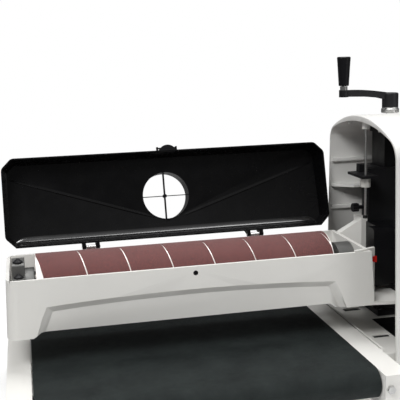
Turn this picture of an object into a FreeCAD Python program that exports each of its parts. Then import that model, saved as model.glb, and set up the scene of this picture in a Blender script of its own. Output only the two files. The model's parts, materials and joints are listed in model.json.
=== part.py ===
import FreeCAD, Part
import math
import os
import re
import Sketcher

# Open-ended drum sander.  Sub-parts are drawn in millimetres about the drum: X runs from the
# drum's outboard end towards the column, Y runs from the infeed to the outfeed side, and Z is
# height above the drum's axis.  place() then puts each one in the machine's own frame, whose
# origin is the centre of the stand bolts on the underside of the base.

Vector = FreeCAD.Vector
Rotation = FreeCAD.Rotation
Placement = FreeCAD.Placement

doc = FreeCAD.newDocument("drum_sander")
dims = doc.addObject("Spreadsheet::Sheet", "dims")

# alias: (value in millimetres or degrees, what it is)
SIZES = {
    "stand_x": (375, "drum end to the middle of the stand bolts"),
    "axis_height": (258.4, "base underside to the drum axis, 54 mm opening"),
    "stand_dx": (790, "stand bolt spacing along the drum"),
    "stand_dy": (270, "stand bolt spacing across the drum"),
    "stand_hole": (5.5, "stand bolt hole radius, M10 clearance"),
    "drum_len": (559, "drum length, 22 in"),
    "drum_r": (63.5, "bare drum radius, 5 in diameter"),
    "drum_wall": (5, "drum tube wall"),
    "wrap": (1.1, "abrasive strip thickness"),
    "shaft_r": (12.5, "drum shaft radius"),
    "fit": (0.06, "running fit, radial"),
    "belt_z": (-118.4, "belt surface below the drum axis"),
    "belt_lo": (-18, "belt edge, outboard"),
    "belt_hi": (557, "belt edge, column side"),
    "belt_t": (1.5, "belt thickness"),
    "roller_r": (25, "conveyor roller radius"),
    "roller_y": (250, "conveyor roller axis from the drum axis"),
    "roller_z": (-145.2, "conveyor roller axis height"),
    "frame_half": (288, "half length of a conveyor side frame"),
    "beam_top": (-187, "top of the base beams"),
    "pedestal_top": (-135, "top of the base pedestal"),
    "pedestal_hi": (790, "column side of the pedestal"),
    "rim": (42, "carriage rim above the drum axis"),
    "skirt": (-62, "lowest edge of the carriage"),
    "arch": (-54, "lower edge of the carriage between its feet"),
    "front": (-93, "carriage front face at the rim"),
    "rear": (99, "carriage rear face at the rim"),
    "wall": (6, "carriage wall"),
    "cast_lo": (-52.6, "outboard end of the carriage"),
    "cast_hi": (619, "column end of the carriage trough"),
    "saddle_lo": (666, "saddle face that the carriage bolts to"),
    "saddle_hi": (770, "saddle face that the motor mount bolts to"),
    "saddle_top": (178, "top of the saddle"),
    "col_lo": (706, "column, outboard face"),
    "col_hi": (756, "column, motor side"),
    "col_front": (45, "column, front face"),
    "col_back": (105, "column, rear face"),
    "col_top": (246, "column top"),
    "screw_x": (731, "lift screw and crank axis"),
    "screw_y": (75, "lift screw and crank axis"),
    "screw_r": (8, "lift screw radius"),
    "lock_y": (52, "lock knob axis"),
    "lock_z": (97, "lock knob axis"),
    "rod_x": (648, "guide rod axis"),
    "rod_y": (5, "guide rod axis"),
    "rod_r": (2.5, "guide rod radius"),
    "shell_lo": (631, "open side of the column housing"),
    "shell_hi": (801, "closed side of the column housing"),
    "shell_wall": (5, "housing wall"),
    "shell_foot": (-238, "lower edge of the housing"),
    "seam_y": (-8, "joint between the housing halves"),
    "motor_r": (70, "drum motor radius"),
    "hinge_y": (99.4, "cover hinge axis"),
    "hinge_z": (46.8, "cover hinge axis"),
    "pin_r": (2, "cover hinge pin radius"),
    "open_angle": (105, "cover opening angle"),
    "cover_lo": (-53.5, "cover, outboard end"),
    "cover_hi": (611.1, "cover, column end"),
    "cover_y": (92, "cover, hinge side of its rim"),
    "cover_z": (44, "cover rim above the drum axis"),
    "cover_depth": (176, "cover rim, hinge side to latch side"),
    "cover_roof": (51, "cover height over its rim"),
    "cover_rear": (40, "cover height along the hinge side"),
    "cover_wall": (3, "cover wall"),
    "port_x": (275.5, "dust port axis"),
    "port_v": (88, "dust port axis from the hinge side of the rim"),
    "port_r": (50, "dust port outside radius, 4 in hose"),
    "press_y": (54, "pressure roller axis from the drum axis"),
    "press_z": (-56.9, "pressure roller axis height"),
    "press_r": (8, "pressure roller radius"),
}
for row, (alias, (size, note)) in enumerate(SIZES.items(), 1):
    dims.set(f"A{row}", alias)
    dims.set(f"B{row}", str(size))
    dims.setAlias(f"B{row}", alias)
    dims.set(f"C{row}", note)
doc.recompute()

ALONG = {
    "x": Rotation(Vector(0, 1, 0), 90),
    "y": Rotation(Vector(1, 0, 0), -90),
    "z": Rotation(),
}
PARTS = []


def cells(expression):
    """A size expression with each alias pointed at the sheet."""
    return re.sub(
        r"[a-z]\w*",
        lambda word: "dims." + word[0] if word[0] in SIZES else word[0],
        str(expression),
    )


def number(expression):
    """The value of a size expression."""
    return float(dims.evalExpression(cells(expression)))


def unique(name):
    """A free internal name that starts with this one."""
    return name + "_" + str(len(doc.Objects))


def place(label, thing, turn=None):
    """Names a finished sub-part and puts it in the machine's frame."""
    shift = Placement(Vector(-number("stand_x"), 0, number("axis_height")), Rotation())
    if thing.ExpressionEngine:
        # a bare primitive keeps its own bound place, inside a compound that can move
        thing = group(thing)
    thing.Placement = shift * (turn or Placement()) * thing.Placement
    thing.Label = label
    PARTS.append(thing)


# ---- primitives -------------------------------------------------------------------------


def box(x, y, z):
    """A block from three (low, high) pairs."""
    block = doc.addObject("Part::Box", unique("box"))
    for side, axis, (low, high) in (("Length", "x", x), ("Width", "y", y), ("Height", "z", z)):
        block.setExpression(side, cells(f"({high}) - ({low})"))
        block.setExpression(f"Placement.Base.{axis}", cells(low))
    return block


def rod(axis, start, length, radius):
    """A cylinder that starts at a point and runs along an axis."""
    bar = doc.addObject("Part::Cylinder", unique("rod"))
    bar.Placement = Placement(Vector(), ALONG[axis])
    bar.setExpression("Radius", cells(radius))
    bar.setExpression("Height", cells(length))
    for name, value in zip("xyz", start):
        bar.setExpression(f"Placement.Base.{name}", cells(value))
    return bar


def hexagon(axis, start, height, flats):
    """A hexagonal prism, for bolt heads and nuts, from its size across flats."""
    prism = doc.addObject("Part::Prism", unique("hexagon"))
    prism.Polygon = 6
    prism.Placement = Placement(Vector(), ALONG[axis])
    prism.setExpression("Circumradius", cells(f"({flats}) / 1.7320508"))
    prism.setExpression("Height", cells(height))
    for name, value in zip("xyz", start):
        prism.setExpression(f"Placement.Base.{name}", cells(value))
    return prism


def fuse(*things):
    union = doc.addObject("Part::MultiFuse", unique("fuse"))
    union.Shapes = list(things)
    return union


def group(*things):
    """Separate solids that share one node."""
    compound = doc.addObject("Part::Compound", unique("group"))
    compound.Links = list(things)
    return compound


def cut(base, *tools):
    difference = doc.addObject("Part::Cut", unique("cut"))
    difference.Base = base
    difference.Tool = tools[0] if len(tools) == 1 else fuse(*tools)
    return difference


def tube(axis, start, length, outer, inner):
    return cut(rod(axis, start, length, outer), rod(axis, start, length, inner))


def rounded(thing, radius, chosen):
    """Rounds the edges of a boolean or primitive that a test picks out."""
    doc.recompute()
    edges = [i for i, edge in enumerate(thing.Shape.Edges, 1) if chosen(edge)]
    soft = doc.addObject("Part::Fillet", unique("rounded"))
    soft.Base = thing
    soft.Edges = [(i, radius, radius) for i in edges]
    return soft


def runs_along(edge, axis):
    """Whether an edge is straight and parallel to an axis."""
    if edge.Curve.TypeId != "Part::GeomLine":
        return False
    return abs(getattr(edge.Curve.Direction, axis)) > 0.999


# ---- sketched bodies --------------------------------------------------------------------

# For each origin plane: the sign that turns a coordinate along the plane's normal into an offset
PLANES = {"XY_Plane": 1, "XZ_Plane": -1, "YZ_Plane": 1}


def new_body(name):
    return doc.addObject("PartDesign::Body", unique(name))


def sketch_on(body, role, level):
    """A sketch on one of the body's own origin planes, moved along the normal to a level."""
    plane = next(f for f in body.Origin.OriginFeatures if f.Role == role)
    sketch = body.newObject("Sketcher::SketchObject", unique("sketch"))
    sketch.AttachmentSupport = [(plane, "")]
    sketch.MapMode = "FlatFace"
    sketch.setExpression("AttachmentOffset.Base.z", cells(f"({level}) * {PLANES[role]}"))
    return sketch


def pin_point(sketch, geometry, point, across, up):
    """Ties a sketch point to the origin by two size expressions."""
    for kind, value in (("DistanceX", across), ("DistanceY", up)):
        tie = Sketcher.Constraint(kind, -1, 1, geometry, point, number(value))
        index = sketch.addConstraint(tie)
        if re.search(r"[a-z]", str(value)):
            sketch.setExpression(f"Constraints[{index}]", cells(value))


def outline(sketch, points):
    """A closed outline, drawn anticlockwise.  A point given as three values ends an arc whose
    third value is its radius, and which bulges outwards."""
    spots = [Vector(number(point[0]), number(point[1]), 0) for point in points]
    first = sketch.GeometryCount
    count = len(points)
    for i, start in enumerate(spots):
        end, bend = spots[(i + 1) % count], points[(i + 1) % count][2:]
        if not bend:
            sketch.addGeometry(Part.LineSegment(start, end), False)
            continue
        radius = number(bend[0])
        chord = end - start
        sagitta = radius - math.sqrt(radius**2 - chord.Length**2 / 4)
        outwards = Vector(chord.y, -chord.x, 0).normalize()
        crest = (start + end) / 2 + outwards * sagitta
        index = sketch.addGeometry(Part.Arc(start, crest, end), False)
        tie = sketch.addConstraint(Sketcher.Constraint("Radius", index, radius))
        if re.search(r"[a-z]", str(bend[0])):
            sketch.setExpression(f"Constraints[{tie}]", cells(bend[0]))
    for i, point in enumerate(points):
        here = first + i
        after = first + (i + 1) % count
        sketch.addConstraint(Sketcher.Constraint("Coincident", here, 2, after, 1))
        pin_point(sketch, here, 1, point[0], point[1])


def rectangle(sketch, across, up):
    outline(sketch, [(across[0], up[0]), (across[1], up[0]), (across[1], up[1]), (across[0], up[1])])


def circle(sketch, across, up, radius):
    centre = Vector(number(across), number(up), 0)
    index = sketch.addGeometry(Part.Circle(centre, Vector(0, 0, 1), number(radius)), False)
    pin_point(sketch, index, 3, across, up)
    tie = sketch.addConstraint(Sketcher.Constraint("Radius", index, number(radius)))
    if re.search(r"[a-z]", str(radius)):
        sketch.setExpression(f"Constraints[{tie}]", cells(radius))


def pad(body, sketch, length, reverse=False, taper=0):
    feature = body.newObject("PartDesign::Pad", unique("pad"))
    feature.Profile = sketch
    feature.setExpression("Length", cells(length))
    feature.Reversed = reverse
    feature.TaperAngle = taper
    doc.recompute()
    return feature


def pocket(body, sketch, length, reverse=False):
    """A pocket, which has to take some of the body away."""
    before = body.Shape.Volume
    feature = body.newObject("PartDesign::Pocket", unique("pocket"))
    feature.Profile = sketch
    feature.setExpression("Length", cells(length))
    feature.Reversed = reverse
    doc.recompute()
    if body.Shape.Volume > before - 1e-3:
        raise RuntimeError("a pocket cuts nothing in " + body.Name)
    return feature


def soften(body, radius, chosen):
    """A fillet on the edges of the body that a test picks out."""
    base = body.Tip
    names = [f"Edge{i}" for i, edge in enumerate(base.Shape.Edges, 1) if chosen(edge)]
    feature = body.newObject("PartDesign::Fillet", unique("fillet"))
    feature.Base = (base, names)
    feature.Radius = radius
    doc.recompute()
    if not names or "Invalid" in feature.State:
        raise RuntimeError(f"a fillet of {radius} failed on {len(names)} edges in {body.Name}")
    return feature


def turned(axis, start, profile):
    """A turned piece: a profile of (distance along the axis, radius) points, spun about it."""
    body = new_body("turned")
    sketch = sketch_on(body, "XZ_Plane", 0)
    outline(sketch, [(point[1], point[0], *point[2:]) for point in profile])
    spin = body.newObject("PartDesign::Revolution", unique("revolution"))
    spin.Profile = sketch
    spin.ReferenceAxis = (sketch, ["V_Axis"])
    spin.Angle = 360
    doc.recompute()
    body.Placement = Placement(Vector(*(number(value) for value in start)), ALONG[axis])
    return body


# ---- base -------------------------------------------------------------------------------


def base_casting():
    """A hollow pedestal under the column, and two beams that carry the conveyor."""
    beam_lo, beam_hi, outer, inner = -62, 606, 160, 110
    foot = "0 - axis_height"
    pedestal = box((604, "pedestal_hi"), (-165, 165), (foot, "pedestal_top"))
    solid = fuse(
        rounded(pedestal, 8, lambda edge: runs_along(edge, "z") and edge.BoundBox.XMin > 700),
        box((beam_lo, beam_hi), (-outer, -inner), (foot, "beam_top")),
        box((beam_lo, beam_hi), (inner, outer), (foot, "beam_top")),
        box((beam_lo, 10), (-outer, outer), (foot, "beam_top")),
        box((606, 610), (-165, 165), ("pedestal_top - 1", "belt_z - 2.6")),
    )
    hollows = [
        box((614, "pedestal_hi - 10"), (-155, 155), ("0 - axis_height - 1", "pedestal_top - 12")),
        box((beam_lo + 8, 596), (-outer + 8, -inner - 8), ("0 - axis_height - 1", "beam_top - 12")),
        box((beam_lo + 8, 596), (inner + 8, outer - 8), ("0 - axis_height - 1", "beam_top - 12")),
        box((beam_lo + 8, 2), (-inner - 9, inner + 9), ("0 - axis_height - 1", "beam_top - 12")),
        box((672, "pedestal_hi - 16"), (-95, 28), ("pedestal_top - 20", "pedestal_top + 1")),
    ]
    slots = [
        box((x, x + 35), (y, y + 16), ("pedestal_top - 20", "pedestal_top + 1"))
        for x, y in ((632, -80), (640, 86))
    ]
    shell = cut(solid, *hollows, *slots)
    pads = []
    holes = []
    for x in ("stand_x - stand_dx / 2", "stand_x + stand_dx / 2"):
        for y in ("0 - stand_dy / 2", "stand_dy / 2"):
            pads.append(rod("z", (x, y, foot), 14, 19))
            holes.append(rod("z", (x, y, "0 - axis_height - 1"), 16, "stand_hole"))
    room = box((beam_lo, "pedestal_hi"), (-165, 165), (foot, 0))
    inside = doc.addObject("Part::MultiCommon", unique("pads"))
    inside.Shapes = [fuse(*pads), room]
    casting = cut(fuse(shell, inside), *holes)
    place("base_casting", casting)


def column():
    """A square post with ground faces, slotted on the motor side for the lift nut's arm."""
    inner = (("col_lo + 8", "col_hi - 8"), ("col_front + 8", "col_back - 8"))
    post = fuse(
        box(("col_lo", "col_hi"), ("col_front", "col_back"), ("pedestal_top", "col_top")),
        box((692, 766), (36, 118), ("pedestal_top", "pedestal_top + 12")),
    )
    bolts = [(699, 46), (699, 104), (761, 46), (761, 104)]
    holes = [rod("z", (x, y, "pedestal_top - 1"), 14, 3.5) for x, y in bolts]
    place("column_post", cut(
        post,
        box(*inner, ("pedestal_top + 14", "col_top + 1")),
        box(("col_hi - 9", "col_hi + 1"), (63, 87), (84, "col_top + 1")),
        *holes,
    ))
    cap = box((702, 760), (41, 109), ("col_top", "col_top + 10"))
    bore = rod("z", ("screw_x", "screw_y", "col_top - 1"), 12, "screw_r + fit")
    place("column_cap", rounded(cut(cap, bore), 2, lambda edge: runs_along(edge, "z")))


# ---- column housing ---------------------------------------------------------------------


def mirrored(points):
    """The same outline on the other side of the drum axis, still drawn anticlockwise."""
    count = len(points)
    flipped = []
    for i in reversed(range(count)):
        bend = points[(i + 1) % count][2:]
        flipped.append((f"0 - ({points[i][0]})", points[i][1], *bend))
    return flipped


def shoulder(hem, flank, crown, crown_r, round_r):
    """Where a round of the housing's shoulder leaves its flat side and meets its crown."""
    foot = Vector(hem, number("shell_foot"), 0)
    rise = (Vector(*flank, 0) - foot).normalize()
    inwards = Vector(-rise.y, rise.x, 0)
    crown_centre = Vector(0, crown - crown_r, 0)
    near = foot + inwards * round_r - crown_centre
    slope = near.dot(rise)
    reach = -slope + math.sqrt(slope**2 - near.Length**2 + (crown_r - round_r) ** 2)
    centre = crown_centre + near + rise * reach
    leaves = centre - inwards * round_r
    meets = centre + (centre - crown_centre).normalize() * round_r
    return (leaves.x, leaves.y), (meets.x, meets.y, round_r)


def housing_half(label, side):
    """Half of the moulded housing: the rear (+1) or the front (-1) of the seam."""
    seam = f"({side}) * seam_y"
    flank, bend = (155, 36) if side > 0 else (166, 44)

    def lay(points):
        return points if side > 0 else mirrored(points)

    hem, crown, crown_r = 181, 289, 322.5
    body = new_body(label)
    sketch = sketch_on(body, "YZ_Plane", "shell_lo")
    outline(sketch, lay([
        (seam, "shell_foot"), (hem, "shell_foot"),
        *shoulder(hem, (flank, 243), crown, crown_r, bend), (seam, crown - 0.1, crown_r),
    ]))
    pad(body, sketch, "shell_hi - shell_lo")
    inside = hem - number("shell_wall")
    roof, roof_r = 278, 410
    sketch = sketch_on(body, "YZ_Plane", "shell_lo")
    outline(sketch, lay([
        (f"{seam} - 1", "shell_foot - 10"), (inside, "shell_foot - 10"),
        *shoulder(inside, (flank - 5, 246), roof, roof_r, bend - 4), (f"{seam} - 1", roof - 0.1, roof_r),
    ]))
    pocket(body, sketch, "shell_hi - shell_lo - shell_wall", reverse=True)
    soften(body, 12, lambda edge: edge.BoundBox.XMin > number("shell_hi") - 0.1
           and edge.BoundBox.ZMax > -230 and not lies_on_seam(edge))
    soften(body, 2.5, lambda edge: edge.BoundBox.XMax < number("shell_lo") + 0.1
           and edge.BoundBox.ZMax > -230 and not lies_on_seam(edge) and is_outside(edge, flank))
    return body


def lies_on_seam(edge):
    """Whether an edge lies in the plane between the housing halves."""
    return abs(edge.BoundBox.Center.y - number("seam_y")) < 1 and edge.BoundBox.YLength < 0.1


def is_outside(edge, flank):
    """Whether an edge of the housing's open side belongs to its outer surface."""
    spot = edge.valueAt((edge.FirstParameter + edge.LastParameter) / 2)
    reach = flank + (243 - spot.z) * (181 - flank) / 481
    return abs(spot.y) > reach - 2.5 or spot.z > 284 - spot.y**2 / 645 + 2


def block_on(body, y, z, lo="shell_lo + 4", hi="shell_hi - 2"):
    """A rib or a lug along the column side, fused to the housing wall."""
    sketch = sketch_on(body, "YZ_Plane", lo)
    rectangle(sketch, y, z)
    pad(body, sketch, f"({hi}) - ({lo})")


def motor_slot(body):
    """The opening that the motor rises and falls in, cut in the closed side."""
    sketch = sketch_on(body, "YZ_Plane", "shell_hi - shell_wall - 4")
    rectangle(sketch, ("0 - motor_r - 8", "motor_r + 8"), ("0 - motor_r - 61", "motor_r + 56"))
    pocket(body, sketch, "shell_wall + 10", reverse=True)


def housing():
    front = housing_half("housing_front", -1)
    motor_slot(front)
    for y, z in ((-83, 264), (-164.5, 168), (-166, 110)):
        block_on(front, (y, y + 3), (z, z + 9), hi="shell_lo + 12")
    # two blocks that the depth scale is stuck to
    for y, z in ((-171.5, -45), (-168.5, 62)):
        block_on(front, (y, -164.9), (z, z + 10), hi="shell_lo + 12")
    place("housing_front", front)

    rear = housing_half("housing_rear", 1)
    # stiffening ribs along the rear wall
    for y, z in ((147, 180), (153, 76)):
        block_on(rear, (y, y + 10), (z, z + 7))
    sketch = sketch_on(rear, "XY_Plane", 126)
    outline(sketch, [("shell_lo + 4", 148), (672, 121), (700, 121), (700, 159), ("shell_lo + 4", 159)])
    pad(rear, sketch, 5)
    block_on(rear, (60, 63), (268, 277), hi="shell_lo + 12")
    # boss that holds the guide rod
    sketch = sketch_on(rear, "XY_Plane", 262)
    circle(sketch, "rod_x", "rod_y", 8)
    pad(rear, sketch, 17)
    sketch = sketch_on(rear, "XY_Plane", 262)
    circle(sketch, "rod_x", "rod_y", "rod_r")
    pocket(rear, sketch, 13, reverse=True)
    motor_slot(rear)
    # clearance for the crank's screw, and the cable gland's hole
    sketch = sketch_on(rear, "XY_Plane", 300)
    circle(sketch, "screw_x", "screw_y", 12)
    pocket(rear, sketch, 40)
    sketch = sketch_on(rear, "XZ_Plane", 190)
    circle(sketch, 760, -180, 8)
    pocket(rear, sketch, 30, reverse=True)
    place("housing_rear", rear)


# ---- column fittings --------------------------------------------------------------------


def column_fittings():
    # a hardened rod hangs from the housing roof, with a collar at its lower end
    guide = fuse(
        rod("z", ("rod_x", "rod_y", 84), 190.7, "rod_r"),
        rod("z", ("rod_x", "rod_y", 84), 6, 5),
    )
    place("guide_rod", guide)
    # depth scale: a strip just inside the housing's open side
    place("depth_scale", box((634, 644), (-164.6, -163.1), (-50, 78)))


# ---- conveyor ---------------------------------------------------------------------------


def side_frame(label, inner, outer):
    """A folded channel, open on its outside, with round holes for the roller journals."""
    low, high = sorted((inner, outer))
    toward = 1 if outer > inner else -1
    frame_top = "belt_z - 2.6"
    shell = box((low, high), ("0 - frame_half", "frame_half"), ("beam_top", frame_top))
    room = sorted((inner + 4 * toward, outer + toward))
    hollow = box(room, ("4 - frame_half", "frame_half - 4"), ("beam_top + 4", "belt_z - 6.6"))
    start = min(inner - 1, inner + 5 * toward)
    holes = [rod("x", (start, y, "roller_z"), 8, 10) for y in ("0 - roller_y", "roller_y")]
    screw_x = inner + 9 * toward
    holes.append(rod("y", (screw_x, "0 - frame_half - 1", "roller_z"), 6, "4 + fit"))
    place(label, cut(shell, hollow, *holes))


def conveyor():
    left_web, right_web = -20, 559
    side_frame("side_frame_left", left_web, left_web - 42)
    side_frame("side_frame_right", right_web, right_web + 43)
    # slider bed: a flat plate between the side frames
    top = "belt_z - belt_t"
    place("conveyor_bed", box((left_web, right_web), (-205, 205), (f"{top} - 3.3", f"{top} - 0.3")))

    def loop(radius, lo, hi):
        """A stadium about both roller axes."""
        return fuse(
            box((lo, hi), ("0 - roller_y", "roller_y"), (f"roller_z - ({radius})", f"roller_z + {radius}")),
            rod("x", (lo, "0 - roller_y", "roller_z"), f"({hi}) - ({lo})", radius),
            rod("x", (lo, "roller_y", "roller_z"), f"({hi}) - ({lo})", radius),
        )

    outer = "(roller_r + 0.3 + belt_t)"
    belt = cut(
        loop(outer, "belt_lo", "belt_hi"),
        loop("(roller_r + 0.3)", "belt_lo - 1", "belt_hi + 1"),
    )
    place("conveyor_belt", belt)
    for label, y in (("drive_roller", "roller_y"), ("idler_roller", "0 - roller_y")):
        reach = 612 if label == "drive_roller" else 573
        barrel = cut(
            rod("x", (-15.5, y, "roller_z"), 570, "roller_r"),
            rod("x", (-7, y, "roller_z"), 553, "roller_r - 4"),
        )
        place(label, fuse(barrel, rod("x", (-34, y, "roller_z"), reach + 34, 8)))
    bushes = []
    for y in ("0 - roller_y", "roller_y"):
        for web, toward in ((left_web - 4, -1), (right_web + 4, 1)):
            start = web - 10 if toward < 0 else web
            bushes.append(tube("x", (start, y, "roller_z"), 10, 15, "8 + fit"))
    place("roller_bearings", group(*bushes))
    # take-up screws push the idler roller's bearings towards the infeed
    screws = []
    for x in (left_web - 9, right_web + 9):
        screws.append(fuse(
            rod("y", (x, "4 - frame_half", "roller_z"), "frame_half - 4 - roller_y - 15", 4),
            hexagon("y", (x, "0 - frame_half - 6", "roller_z"), 6, 13),
            rod("y", (x, "0 - frame_half", "roller_z"), 5, 4),
        ))
    place("takeup_screws", group(*screws))
    # gear motor that turns the drive roller
    case = box((604, 648), (212, 286), ("roller_z - 34", "roller_z + 22"))
    can = rod("x", (648, 254, "roller_z - 8"), 96, 26)
    bore = rod("x", (603, "roller_y", "roller_z"), 13, "8 + fit")
    softened = rounded(case, 5, lambda edge: runs_along(edge, "x"))
    place("gear_motor", cut(fuse(softened, can), bore))


# ---- controls ---------------------------------------------------------------------------


def controls():
    face = -226
    case = rounded(box((676, 792), (face, -181.2), (-232, -128)), 6,
                   lambda edge: runs_along(edge, "z") or runs_along(edge, "x")
                   and edge.BoundBox.YMax < face + 1)
    knob_x, knob_z, switch_x = 762, -180, 712
    # the rocker switch sits in a raised bezel, on a pin
    bezel = box((switch_x - 14, switch_x + 14), (face - 2, face + 2), (-204, -156))
    recess = box((switch_x - 11, switch_x + 11), (face - 3, face + 10), (-201, -159))
    knob_hole = rod("y", (knob_x, face - 1, knob_z), 16, "3 + fit")
    pin = rod("x", (switch_x - 11, face + 2, -180), 22, 1.5)
    place("control_box", fuse(cut(fuse(case, bezel), recess, knob_hole), pin))
    knob = turned("y", (knob_x, face + 13, knob_z), [
        (-32, 0), (-32, 12), (-30, 14), (-17, 17), (-13.5, 17), (-13.5, 3), (0, 3), (0, 0),
    ])
    place("speed_knob", knob)
    paddle = box((switch_x - 10.4, switch_x + 10.4), (face - 7, face + 5), (-199, -161))
    place("switch_paddle", cut(
        rounded(paddle, 1.5, lambda edge: runs_along(edge, "x")),
        rod("x", (switch_x - 12, face + 2, -180), 24, "1.5 + fit"),
    ))
    gland = turned("y", (760, 172.8, -180), [
        (0, 0), (0, 7.9), (6.3, 7.9), (6.3, 13), (10, 13), (16, 11), (26, 9), (26, 0),
    ])
    place("cable_gland", cut(gland, rod("y", (760, 190.8, -180), 10, 5)))


# ---- carriage ---------------------------------------------------------------------------


def carriage_casting():
    """The cast trough that carries the drum, and the neck that joins it to the saddle."""
    body = new_body("carriage")
    sketch = sketch_on(body, "XY_Plane", "rim")
    rectangle(sketch, ("cast_lo", "cast_hi"), ("front", "rear"))
    draft = 2.5
    pad(body, sketch, "rim - skirt", reverse=True, taper=draft)
    soften(body, 22, lambda edge: edge.BoundBox.ZLength > 90 and edge.BoundBox.XMax < 0)
    # open trough
    inner_front, inner_rear = "front + wall", "rear - wall - 1"
    inner_lo, inner_hi = "cast_lo + wall", "cast_hi - wall - 1"
    sketch = sketch_on(body, "XY_Plane", "rim")
    rectangle(sketch, (inner_lo, inner_hi), (inner_front, inner_rear))
    pocket(body, sketch, "rim - skirt + 10")
    # cross walls at both ends, which hold the drum's bearings
    walls = ((f"{inner_lo} - 1", -19.5, -35.1), (579, f"{inner_hi} + 1", -42))
    for low, high, top in walls:
        sketch = sketch_on(body, "XY_Plane", "skirt")
        rectangle(sketch, (low, high), (f"{inner_front} - 1", f"{inner_rear} + 1"))
        pad(body, sketch, f"{top} - skirt")
    neck(body)
    # thicker wall behind the front panel
    sketch = sketch_on(body, "XY_Plane", "skirt")
    rectangle(sketch, (0, 560), (f"{inner_front} - 1", "front + 11"))
    pad(body, sketch, "8 - skirt")
    trim_underside(body)
    front_panel(body)
    holes_in(body)
    place("carriage_casting", body)


def neck(body):
    """Walls that narrow from the trough to the flange on the saddle, and their floor."""
    rib_foot = "skirt + 1"
    sketch = sketch_on(body, "XY_Plane", rib_foot)
    outline(sketch, [(586, "front"), (594, "front"), (632, -77), (632, -70.5), (586, -86)])
    pad(body, sketch, f"45 - ({rib_foot})")
    sketch = sketch_on(body, "XY_Plane", rib_foot)
    outline(sketch, [(613, 84), (613, 76), (653, 35), (660, 42), (621, 86)])
    pad(body, sketch, f"76 - ({rib_foot})")
    sketch = sketch_on(body, "XY_Plane", rib_foot)
    rectangle(sketch, (653, "saddle_lo"), (35, 75))
    pad(body, sketch, f"78 - ({rib_foot})")
    # the rear wall's top edge climbs from the trough's rim to the flange
    sketch = sketch_on(body, "XZ_Plane", 30)
    outline(sketch, [(620, "rim"), (653, 76), (653, 140), (600, 140), (600, "rim")])
    pocket(body, sketch, 70)
    floor_top = "skirt + 6"
    sketch = sketch_on(body, "XY_Plane", "skirt")
    outline(sketch, [
        (612, "front - 5"), (624, -98.6), (659, -104.6), (690, -104.6), (690, 34), (653, 36), (612, 80),
    ])
    pad(body, sketch, f"({floor_top}) - skirt")


def trim_underside(body):
    """The arched lower edge between the two feet, front and rear."""
    sketch = sketch_on(body, "XZ_Plane", -115)
    outline(sketch, [
        (-10, "skirt - 1"), (546, "skirt - 1"), (548, "skirt"), (538, "arch"), (2, "arch"), (-12, "skirt"),
    ])
    pocket(body, sketch, 230)


def front_panel(body):
    """A panel with sloping borders, sunk into the front face under a long arch."""
    profiles = []
    for y, inset in ((-101, 0), (-96, 0), (-88, 12)):
        sketch = sketch_on(body, "XZ_Plane", y)
        outline(sketch, [
            (-9.6 + inset, -70), (570.7 - inset, -70), (546.6 - inset, -8 - inset),
            (12.2 + inset, -6.5 - inset, 3600),
        ])
        profiles.append(sketch)
    loft = body.newObject("PartDesign::SubtractiveLoft", unique("panel"))
    loft.Profile = profiles[0]
    loft.Sections = profiles[1:]
    loft.Ruled = True
    doc.recompute()


def holes_in(body):
    """The drum shaft's way through the end wall, and the latch hole."""
    sketch = sketch_on(body, "YZ_Plane", 605)
    circle(sketch, 0, 0, 30)
    pocket(body, sketch, 25, reverse=True)
    sketch = sketch_on(body, "XZ_Plane", -105)
    circle(sketch, 280, 30, 4.5)
    pocket(body, sketch, 25)


# ---- saddle and lift --------------------------------------------------------------------


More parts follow.
